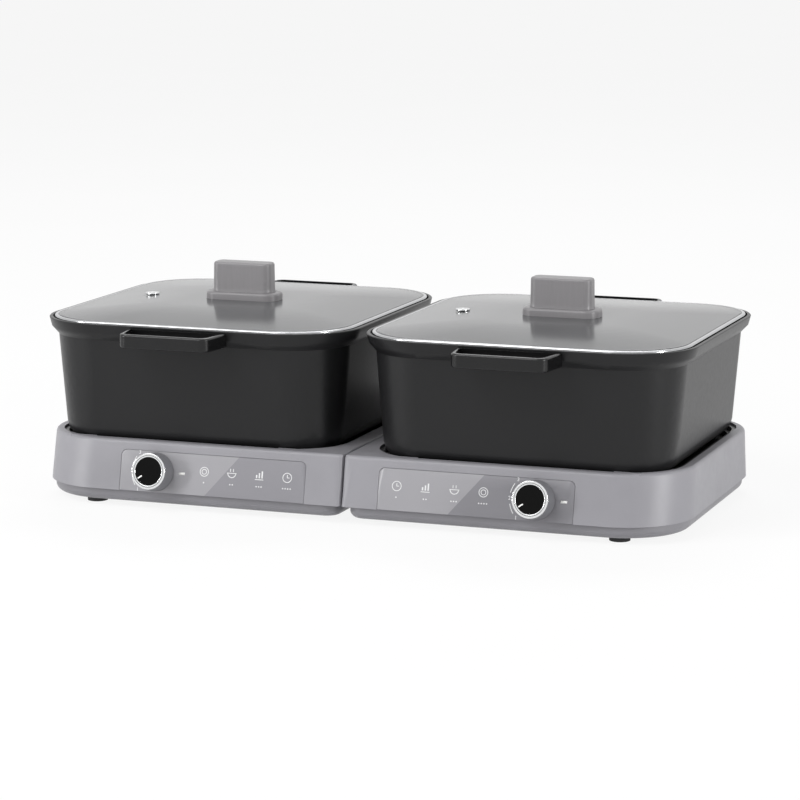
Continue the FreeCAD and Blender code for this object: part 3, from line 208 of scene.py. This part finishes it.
def grain(tree, place, size_mm, detail=2.0):
    """Noise with grains of a real size in millimetres."""
    return add(tree, "ShaderNodeTexNoise", {"Scale": 1 / (size_mm * MM), "Detail": detail},
               Vector=place).outputs[0]


def roughen(tree, shader, source, low, high):
    spread = add(tree, "ShaderNodeMapRange", {"To Min": low, "To Max": high}, Value=source)
    tree.links.new(spread.outputs[0], shader.inputs["Roughness"])


def emboss(tree, shader, source, depth_mm, strength=0.3):
    bump = add(tree, "ShaderNodeBump", {"Strength": strength, "Distance": depth_mm * MM}, Height=source)
    tree.links.new(bump.outputs[0], shader.inputs["Normal"])


def moulded(name, colour, rough=(0.38, 0.5), grain_mm=0.5, mottle_mm=40, spread=0.04, depth=0.02, shine=0.5):
    """Injection-moulded plastic: an even tone with a fine spark-eroded grain and slightly uneven gloss."""
    material, tree, shader, place = new_material(name)
    clouds = grain(tree, place, mottle_mm, 3)
    tone = ramp(tree, clouds, shade(colour, 1 - spread), shade(colour, 1 + spread))
    tree.links.new(tone, shader.inputs["Base Color"])
    fine = grain(tree, place, grain_mm)
    roughen(tree, shader, grain(tree, place, 6), *rough)
    emboss(tree, shader, fine, depth)
    shader.inputs["Specular IOR Level"].default_value = shine
    return material


def metal(name, colour, rough=(0.18, 0.3), line_mm=0.4, stretch=(1, 40, 1), depth=0.01):
    """Polished or brushed sheet metal: fine lines left by the belt, with a soft smear of reflections."""
    material, tree, shader, place = new_material(name)
    shader.inputs["Metallic"].default_value = 1.0
    laid = add(tree, "ShaderNodeMapping", {"Scale": stretch}, Vector=place).outputs[0]
    lines = grain(tree, laid, line_mm * max(stretch), 1)
    tree.links.new(ramp(tree, lines, shade(colour, 0.92), shade(colour, 1.04)), shader.inputs["Base Color"])
    roughen(tree, shader, lines, *rough)
    emboss(tree, shader, lines, depth, 0.15)
    return material


def panel_material(name, light, dark, foot_x):
    """Satin film with a darker reflection painted over part of it, meeting it on a slanted line, with faint
    orange peel.
    """
    material, tree, shader, place = new_material(name)
    parts = add(tree, "ShaderNodeSeparateXYZ", Vector=place)
    # Past the slanted line the film takes the darker tone of the painted reflection
    rise = add(tree, "ShaderNodeMath", {"operation": "MULTIPLY_ADD"}, _0=parts.outputs[2])
    rise.inputs[1].default_value = -REFLECTION_SLANT
    rise.inputs[2].default_value = REFLECTION_SLANT * FACE_FOOT.z - foot_x
    across = add(tree, "ShaderNodeMath", _0=parts.outputs[0], _1=rise.outputs[0])
    step = add(tree, "ShaderNodeMath", {"operation": "GREATER_THAN"}, _0=across.outputs[0])
    step.inputs[1].default_value = 0.0
    tree.links.new(ramp(tree, step.outputs[0], light, dark, 0.4, 0.6), shader.inputs["Base Color"])
    roughen(tree, shader, grain(tree, place, 40, 0), 0.31, 0.33)
    emboss(tree, shader, grain(tree, place, 1.2), 0.004, 0.1)
    return material


def pot_material(name, colour):
    """Sprayed non-stick coat on cast aluminium: near black, satin, with tiny metallic flecks."""
    material, tree, shader, place = new_material(name)
    cells = add(tree, "ShaderNodeTexVoronoi", {"Scale": 1 / (0.7 * MM)}, Vector=place)
    flecks = ramp(tree, cells.outputs["Distance"], shade(colour, 2.2), colour, 0.02, 0.12)
    tree.links.new(flecks, shader.inputs["Base Color"])
    roughen(tree, shader, grain(tree, place, 4), 0.3, 0.38)
    shader.inputs["Specular IOR Level"].default_value = 0.24
    emboss(tree, shader, grain(tree, place, 0.6), 0.02, 0.25)
    return material


def plate_material(name):
    """Turned cast aluminium: rings left by the lathe's tool round each plate's middle."""
    material, tree, shader, place = new_material(name)
    shader.inputs["Metallic"].default_value = 1.0
    parts = add(tree, "ShaderNodeSeparateXYZ", Vector=place)
    mirrored = add(tree, "ShaderNodeMath", {"operation": "ABSOLUTE"}, _0=parts.outputs[0])
    centred = add(tree, "ShaderNodeMath", {"operation": "SUBTRACT"}, _0=mirrored.outputs[0])
    low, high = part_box("right_heating_plate")
    centred.inputs[1].default_value = (low.x + high.x) / 2
    flat = add(tree, "ShaderNodeCombineXYZ", _0=centred.outputs[0], _1=parts.outputs[1])
    rings = add(tree, "ShaderNodeTexWave", {"wave_type": "RINGS", "rings_direction": "SPHERICAL",
                                            "Scale": 1 / (WAVE_COUNT * TURNED_PITCH)},
                Vector=flat.outputs[0]).outputs[1]
    tree.links.new(ramp(tree, rings, rgb("8E8F90"), rgb("B9BABB"), 0.1, 0.9), shader.inputs["Base Color"])
    roughen(tree, shader, rings, 0.28, 0.42)
    emboss(tree, shader, rings, 0.05, 0.2)
    return material


def glass_material(name):
    """Toughened float glass with a smoky tint: clear to light, with a faint ripple of its bending."""
    material, tree, shader, place = new_material(name)
    shader.inputs["Transmission Weight"].default_value = 0.35
    shader.inputs["IOR"].default_value = 1.5
    shader.inputs["Specular IOR Level"].default_value = 0.3
    ripple = grain(tree, place, 60, 1)
    tree.links.new(ramp(tree, ripple, rgb("5E5F61"), rgb("6A6B6D")), shader.inputs["Base Color"])
    roughen(tree, shader, ripple, 0.12, 0.2)
    emboss(tree, shader, ripple, 0.1, 0.05)
    return material


def knob_material(name, colour):
    """Heat-proof moulded plastic with a faint upright drawn grain."""
    material, tree, shader, place = new_material(name)
    laid = add(tree, "ShaderNodeMapping", {"Scale": (1, 1, 0.04)}, Vector=place).outputs[0]
    lines = grain(tree, laid, 1.1, 1)
    tree.links.new(ramp(tree, lines, shade(colour, 0.975), shade(colour, 1.02)), shader.inputs["Base Color"])
    roughen(tree, shader, lines, 0.36, 0.42)
    emboss(tree, shader, lines, 0.01, 0.08)
    return material


def make_materials():
    """One material for each slot of the record, and the panels' two."""
    use = looks()
    made = {
        "shell_plastic": moulded("moulded_abs_grey", tuple(use.shell)),
        # The tray takes the shell's grey darkened to 0.8 as painted shade under the shell's overhang
        "tray_plastic": moulded("moulded_abs_grey_painted_shade", shade(tuple(use.shell), 0.8)),
        "foot_rubber": moulded("moulded_rubber", rgb("2B2B2C"), (0.7, 0.85), 1.0, 8, 0.1, 0.05),
        "screw_steel": metal("zinc_plated_steel", rgb("A9ABAD"), (0.3, 0.4)),
        "pan_steel": moulded("enamelled_sheet_steel", rgb("1C1C1D"), (0.3, 0.4), 0.8),
        "plate_aluminium": plate_material("turned_aluminium"),
        "tube_steel": metal("heat_tinted_steel", rgb("6E6256"), (0.35, 0.5)),
        "thermostat_steel": metal("pressed_steel", rgb("A6A7A8")),
        "fuse_ceramic": moulded("fired_ceramic", rgb("DEDBD2"), (0.5, 0.6), 0.4),
        "lens_plastic": moulded("moulded_acrylic_white", rgb("F2F2F0"), (0.12, 0.2), 0.6, 3, 0.02, 0.005),
        "switch_plastic": moulded("moulded_nylon_black", rgb("242424")),
        "shaft_steel": metal("turned_steel", rgb("B0B1B2")),
        "dial_plastic": moulded("moulded_abs_dial", rgb("6F6F73"), (0.3, 0.4)),
        "dial_ring_chrome": metal("chromed_abs", rgb("E4E5E6"), (0.08, 0.16), 0.6, (1, 1, 1), 0.004),
        "dial_face_plastic": moulded("gloss_abs_black", rgb("060606"), (0.1, 0.14), 1.0, 5, 0.2, 0.002, 0.1),
        "board_plastic": moulded("glass_fibre_laminate", rgb("1F5B35"), (0.4, 0.5), 0.9),
        "inlet_plastic": moulded("moulded_nylon_inlet", rgb("1B1B1B")),
        "pin_brass": metal("nickel_plated_brass", rgb("C9B98C"), (0.15, 0.25)),
        "pot_coating": pot_material("sprayed_non_stick", tuple(use.pot)),
        "handle_plastic": moulded("moulded_phenolic_black", rgb("101011"), (0.2, 0.26), 0.6, 20, 0.1, 0.008,
                                  0.35),
        "lid_glass": glass_material("toughened_glass_smoky"),
        "rim_steel": metal("polished_stainless_rim", rgb("B4B5B7"), (0.15, 0.2), 2.0, (1, 1, 1), 0.002),
        "vent_steel": metal("polished_stainless_vent", rgb("CFD0D1"), (0.12, 0.2)),
        "knob_plastic": knob_material("moulded_phenolic_grey", tuple(use.knob)),
    }
    light, dark = tuple(use.panel_light), tuple(use.panel_dark)
    # The darker part of each panel is a painted reflection; on the right panel it is painted darker again as
    # shade
    made["panel_left"] = panel_material("film_and_painted_reflection_left", light, dark, REFLECTION_FOOT["left"])
    made["panel_right"] = panel_material("film_and_painted_reflection_right", light, shade(dark, 0.9), REFLECTION_FOOT["right"])
    return made


def finish_node(part, material, edge):
    """Gives a frame node its material, a soft edge and even shading."""
    part.data.materials.clear()
    part.data.materials.append(material)
    for face in part.data.polygons:
        face.use_smooth = True
    weld = part.modifiers.new("weld", "WELD")
    weld.merge_threshold = WELD_GAP
    if edge > 0:
        bevel = part.modifiers.new("soft_edge", "BEVEL")
        bevel.width = edge
        bevel.segments = BEVEL_SEGMENTS
        bevel.limit_method = "ANGLE"
        bevel.angle_limit = BEVEL_LIMIT
        bevel.harden_normals = False
    even = part.modifiers.new("even_shading", "WEIGHTED_NORMAL")
    even.weight = NORMAL_WEIGHT


def on_face(x, up, out=0.0):
    """Matrix of a place on the front face: x along the cookers, up the slope, out of the face."""
    place = Vector((x, 0, 0)) + FACE_FOOT + FACE_UP * up + FACE_OUT * out
    turn = Matrix((Vector((1, 0, 0)), FACE_UP, FACE_OUT)).transposed().to_4x4()
    return Matrix.Translation(place) @ turn


def add_bar(bm, x, y, length, width, turn=0.0):
    """A flat bar on the drawing plane."""
    made = bmesh.ops.create_grid(bm, x_segments=1, y_segments=1, size=0.5)["verts"]
    bmesh.ops.scale(bm, vec=(length, width, 1), verts=made)
    bmesh.ops.rotate(bm, cent=(0, 0, 0), matrix=Matrix.Rotation(turn, 3, "Z"), verts=made)
    bmesh.ops.translate(bm, vec=(x, y, 0), verts=made)


def add_arc(bm, x, y, inner, outer, start=0.0, sweep=2 * math.pi, steps=32):
    """A flat ring, or part of one, on the drawing plane."""
    near = bm.verts.new((inner, 0, 0))
    far = bm.verts.new((outer, 0, 0))
    edge = bm.edges.new((near, far))
    turn = Matrix.Rotation(start, 3, "Z")
    bmesh.ops.rotate(bm, cent=(0, 0, 0), matrix=turn, verts=[near, far])
    whole = abs(sweep - 2 * math.pi) < 1e-6
    before = set(bm.verts) - {near, far}
    bmesh.ops.spin(bm, geom=[near, far, edge], cent=(0, 0, 0), axis=(0, 0, 1), angle=sweep,
                   steps=steps, use_merge=whole)
    fresh = [vert for vert in bm.verts if vert not in before]
    bmesh.ops.translate(bm, vec=(x, y, 0), verts=fresh)


def add_disc(bm, x, y, radius, steps=12):
    made = bmesh.ops.create_circle(bm, cap_ends=True, segments=steps, radius=radius)["verts"]
    bmesh.ops.translate(bm, vec=(x, y, 0), verts=made)


def place_drawing(name, bm, matrix, thickness, body, material):
    """Turns a flat drawing into a thin printed piece at its place."""
    solid = bmesh.ops.extrude_face_region(bm, geom=bm.faces[:])
    raised = [item for item in solid["geom"] if isinstance(item, bmesh.types.BMVert)]
    bmesh.ops.translate(bm, vec=(0, 0, thickness), verts=raised)
    bmesh.ops.recalc_face_normals(bm, faces=bm.faces[:])
    bmesh.ops.transform(bm, matrix=matrix, verts=bm.verts[:])
    mesh = bpy.data.meshes.new(name)
    bm.to_mesh(mesh)
    bm.free()
    mesh.materials.append(material)
    piece = bpy.data.objects.new(name, mesh)
    bpy.context.scene.collection.objects.link(piece)
    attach(piece, body)
    return piece


def ink_material(name, code):
    """Screen-printed ink: even, slightly chalky, with a hint of mesh in its edge."""
    return moulded(name, rgb(code), (0.45, 0.6), 0.5, 4, 0.03, 0.004)


def picture_ring(bm):
    """A hob's two rings."""
    for inner in (3.4 * MM, 1.7 * MM):
        add_arc(bm, 0, 0, inner, inner + LINE)


def picture_steam(bm):
    """A bowl with two wisps of steam."""
    add_arc(bm, 0, 0.4 * MM, 3.2 * MM, 3.9 * MM, math.pi, math.pi, 20)
    add_bar(bm, 0, 0.4 * MM, 8.4 * MM, LINE)
    for x in (-1.3 * MM, 1.3 * MM):
        add_bar(bm, x, 2.8 * MM, LINE, 2.4 * MM)


def picture_bars(bm):
    """Heat as rising bars over a line."""
    add_bar(bm, 0, -3.2 * MM, 7.6 * MM, LINE)
    for column, height in ((-2.4, 2.6), (0, 4.2), (2.4, 5.8)):
        add_bar(bm, column * MM, (height / 2 - 2.0) * MM, 1.2 * MM, height * MM)


def picture_clock(bm):
    """A timer."""
    add_arc(bm, 0, 0, 3.5 * MM, 3.5 * MM + LINE)
    add_bar(bm, 0, 1.1 * MM, LINE, 2.4 * MM)
    add_bar(bm, 1.0 * MM, 0, 2.2 * MM, LINE)


PICTURES = (picture_ring, picture_steam, picture_bars, picture_clock)


def dial_place(side):
    """X of a dial's axis and its height up the face, from the frame."""
    low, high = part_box(f"{side}_knob_ring")
    middle = (low + high) / 2 - FACE_FOOT
    return (low.x + high.x) / 2, middle.dot(FACE_UP)


def face_top(node):
    """How far a node stands out of the leaning front face."""
    return max((corner.co - FACE_FOOT).dot(FACE_OUT) for corner in frame["nodes"][node].data.vertices)


class HOTPOT_OT_dress_frame(bpy.types.Operator):
    """Gives every built node its finish"""
    bl_idname = "hotpot.dress_frame"
    bl_label = "Dress the frame"

    def execute(self, context):
        made = make_materials()
        slots = {part["node"]: part["material_slot"] for part in frame["record"]["subparts"]}
        sharp = ("lid_glass", "control_board", "control_panel", "inlet_pins", "lamp_lens")
        for name, part in frame["nodes"].items():
            slot = slots[name]
            if slot == "panel_plastic":
                slot = "panel_" + name.split("_")[0]
            edge = 0.0 if name.split("_", 1)[1] in sharp else looks().edge
            finish_node(part, made[slot], edge)
        return {"FINISHED"}


class HOTPOT_OT_panel_marks(bpy.types.Operator):
    """Prints plain pictures and level dots on both control panels"""
    bl_idname = "hotpot.panel_marks"
    bl_label = "Panel marks"

    def execute(self, context):
        ink = ink_material("screen_print_pale", "DCDCDD")
        for side, places in PICTURE_PLACES.items():
            order = PICTURES if side == "left" else PICTURES[::-1]
            for number, (x, draw) in enumerate(zip(places, order), start=1):
                bm = bmesh.new()
                draw(bm)
                for dot in range(number):
                    add_disc(bm, (dot - (number - 1) / 2) * DOT_PITCH, -DOT_DROP, DOT_RADIUS)
                place_drawing(f"{side}_panel_picture_{number}", bm, on_face(x * MM, PICTURE_RISE),
                              looks().ink_height, f"{side}_base", ink)
        return {"FINISHED"}


def add_number(bm, digit, x, y, size):
    """A plain number on the drawing plane."""
    curve = bpy.data.curves.new("number", "FONT")
    curve.body = str(digit)
    curve.align_x = "CENTER"
    curve.align_y = "CENTER"
    curve.size = size
    curve.resolution_u = 4
    text = bpy.data.objects.new("number", curve)
    bpy.context.scene.collection.objects.link(text)
    bpy.context.view_layer.update()
    flat = bpy.data.meshes.new_from_object(text.evaluated_get(bpy.context.evaluated_depsgraph_get()))
    bpy.data.objects.remove(text)
    bpy.data.curves.remove(curve)
    flat.transform(Matrix.Translation((x, y, 0)))
    bm.from_mesh(flat)
    bpy.data.meshes.remove(flat)


class HOTPOT_OT_dial_scale(bpy.types.Operator):
    """Prints the heat scale beside each dial"""
    bl_idname = "hotpot.dial_scale"
    bl_label = "Dial scale"

    def execute(self, context):
        ink = ink_material("screen_print_scale", "E4E4E5")
        for side in SIDES:
            x, up = dial_place(side)
            bm = bmesh.new()
            for digit, degrees in SCALE_DIGITS:
                angle = math.radians(degrees)
                add_number(bm, digit, math.cos(angle) * DIGIT_REACH, math.sin(angle) * DIGIT_REACH,
                           DIGIT_SIZE)
            for start in SCALE_ARCS:
                add_arc(bm, 0, 0, ARC_INNER, ARC_INNER + LINE, math.radians(start),
                        math.radians(ARC_SWEEP), 10)
            place_drawing(f"{side}_dial_scale", bm, on_face(x, up), looks().ink_height,
                          f"{side}_base", ink)
        return {"FINISHED"}


class HOTPOT_OT_dial_pointers(bpy.types.Operator):
    """Adds the white pointer, and a dark ring painted as the groove's shade, on each dial"""
    bl_idname = "hotpot.dial_pointers"
    bl_label = "Dial pointers"

    def execute(self, context):
        white = ink_material("inlaid_white", "F4F4F2")
        # Painted shade for the groove in the bright ring, made with the ink material
        dark = ink_material("groove_painted_shade", "0A0A0A")
        for side in SIDES:
            x, up = dial_place(side)
            angle = looks().pointer_angle
            bm = bmesh.new()
            add_bar(bm, math.cos(angle) * POINTER_REACH, math.sin(angle) * POINTER_REACH,
                    POINTER_LENGTH, POINTER_WIDTH, angle)
            place_drawing(f"{side}_dial_pointer", bm, on_face(x, up, face_top(f"{side}_knob_face")),
                          POINTER_HEIGHT, f"{side}_dial", white)
            # The groove's shade is painted as a thin dark ring standing off the bright ring
            bm = bmesh.new()
            add_arc(bm, 0, 0, GROOVE_INNER, GROOVE_INNER + GROOVE_WIDTH, 0, 2 * math.pi, 64)
            place_drawing(f"{side}_dial_groove_shade", bm, on_face(x, up, face_top(f"{side}_knob_ring")),
                          GROOVE_HEIGHT, f"{side}_dial", dark)
        return {"FINISHED"}


class HOTPOT_OT_stage(bpy.types.Operator):
    """Sets the floor, the soft lamps, the pale surroundings and the camera"""
    bl_idname = "hotpot.stage"
    bl_label = "Studio"

    def execute(self, context):
        studio = context.scene.hot_pot_studio
        self.floor()
        self.lamps()
        self.world(context.scene)
        camera = bpy.data.cameras.new("camera")
        camera.lens = studio.lens
        camera.sensor_width = 36
        camera.clip_end = 100
        stand = bpy.data.objects.new("camera", camera)
        context.scene.collection.objects.link(stand)
        stand.location = studio.stand
        stand.rotation_euler = Vector(studio.sight).to_track_quat("-Z", "Y").to_euler()
        context.scene.camera = stand
        context.scene.view_settings.view_transform = "Standard"
        return {"FINISHED"}

    def floor(self):
        bm = bmesh.new()
        bmesh.ops.create_grid(bm, x_segments=1, y_segments=1, size=FLOOR_HALF)
        mesh = bpy.data.meshes.new("floor")
        bm.to_mesh(mesh)
        bm.free()
        floor = bpy.data.objects.new("floor", mesh)
        bpy.context.scene.collection.objects.link(floor)
        material, tree, shader, place = new_material("matt_paper_white")
        shader.inputs["Roughness"].default_value = 0.9
        tone = ramp(tree, grain(tree, place, 300, 1), rgb("F6F6F6"), rgb("FAFAFA"))
        tree.links.new(tone, shader.inputs["Base Color"])
        shader.inputs["Specular IOR Level"].default_value = 0.0
        glow = add(tree, "ShaderNodeEmission", {"Color": (1, 1, 1, 1), "Strength": 1.0})
        path = add(tree, "ShaderNodeLightPath")
        seen = add(tree, "ShaderNodeMath", _0=path.outputs["Is Camera Ray"],
                   _1=path.outputs["Is Glossy Ray"])
        seen = add(tree, "ShaderNodeMath", {"use_clamp": True}, _0=seen.outputs[0],
                   _1=path.outputs["Is Transmission Ray"])
        most = add(tree, "ShaderNodeMath", {"operation": "MULTIPLY"}, _0=seen.outputs[0])
        most.inputs[1].default_value = FLOOR_WHITE
        both = add(tree, "ShaderNodeMixShader", _0=most.outputs[0], _1=shader.outputs[0], _2=glow.outputs[0])
        output = next(item for item in tree.nodes if item.type == "OUTPUT_MATERIAL")
        tree.links.new(both.outputs[0], output.inputs[0])
        mesh.materials.append(material)

    def lamps(self):
        for name, place, aim, size, power in LAMPS:
            light = bpy.data.lights.new(name, "AREA")
            light.shape = "RECTANGLE"
            light.size, light.size_y = size
            light.energy = power
            lamp = bpy.data.objects.new(name, light)
            bpy.context.scene.collection.objects.link(lamp)
            lamp.location = place
            lamp.rotation_euler = (Vector(aim) - Vector(place)).to_track_quat("-Z", "Y").to_euler()

    def world(self, scene):
        world = bpy.data.worlds.new("pale_room")
        world.use_nodes = True
        tree = world.node_tree
        tree.nodes.clear()
        path = add(tree, "ShaderNodeLightPath")
        seen = add(tree, "ShaderNodeMath", _0=path.outputs["Is Camera Ray"],
                   _1=path.outputs["Is Transmission Ray"])
        clamped = add(tree, "ShaderNodeMath", {"use_clamp": True}, _0=seen.outputs[0],
                      _1=path.outputs["Is Glossy Ray"])
        strength = add(tree, "ShaderNodeMapRange", {"To Min": ROOM_LIGHT, "To Max": 1.0},
                       Value=clamped.outputs[0])
        sky = add(tree, "ShaderNodeBackground", {"Color": (1, 1, 1, 1)}, Strength=strength.outputs[0])
        add(tree, "ShaderNodeOutputWorld", Surface=sky.outputs[0])
        scene.world = world


STEPS = (HOTPOT_OT_dress_frame, HOTPOT_OT_panel_marks, HOTPOT_OT_dial_scale, HOTPOT_OT_dial_pointers,
         HOTPOT_OT_stage)


class HOTPOT_PT_panel(bpy.types.Panel):
    """Lists the steps that dress the hot pot"""
    bl_idname = "HOTPOT_PT_panel"
    bl_label = "Hot pot"
    bl_space_type = "VIEW_3D"
    bl_region_type = "UI"
    bl_category = "Hot pot"

    def draw(self, context):
        for step in STEPS:
            self.layout.operator(step.bl_idname)
        for group in (context.scene.hot_pot_looks, context.scene.hot_pot_studio):
            for name in group.__annotations__:
                self.layout.prop(group, name)


CLASSES = (HotPotLooks, HotPotStudio) + STEPS + (HOTPOT_PT_panel,)


def register():
    for item in CLASSES:
        bpy.utils.register_class(item)
    bpy.types.Scene.hot_pot_looks = bpy.props.PointerProperty(type=HotPotLooks)
    bpy.types.Scene.hot_pot_studio = bpy.props.PointerProperty(type=HotPotStudio)


def unregister():
    del bpy.types.Scene.hot_pot_studio
    del bpy.types.Scene.hot_pot_looks
    for item in reversed(CLASSES):
        bpy.utils.unregister_class(item)


def main():
    register()
    bpy.ops.hotpot.dress_frame()
    bpy.ops.hotpot.panel_marks()
    bpy.ops.hotpot.dial_scale()
    bpy.ops.hotpot.dial_pointers()
    bpy.ops.hotpot.stage()
    bpy.context.view_layer.update()


if __name__ == "__main__":
    main()
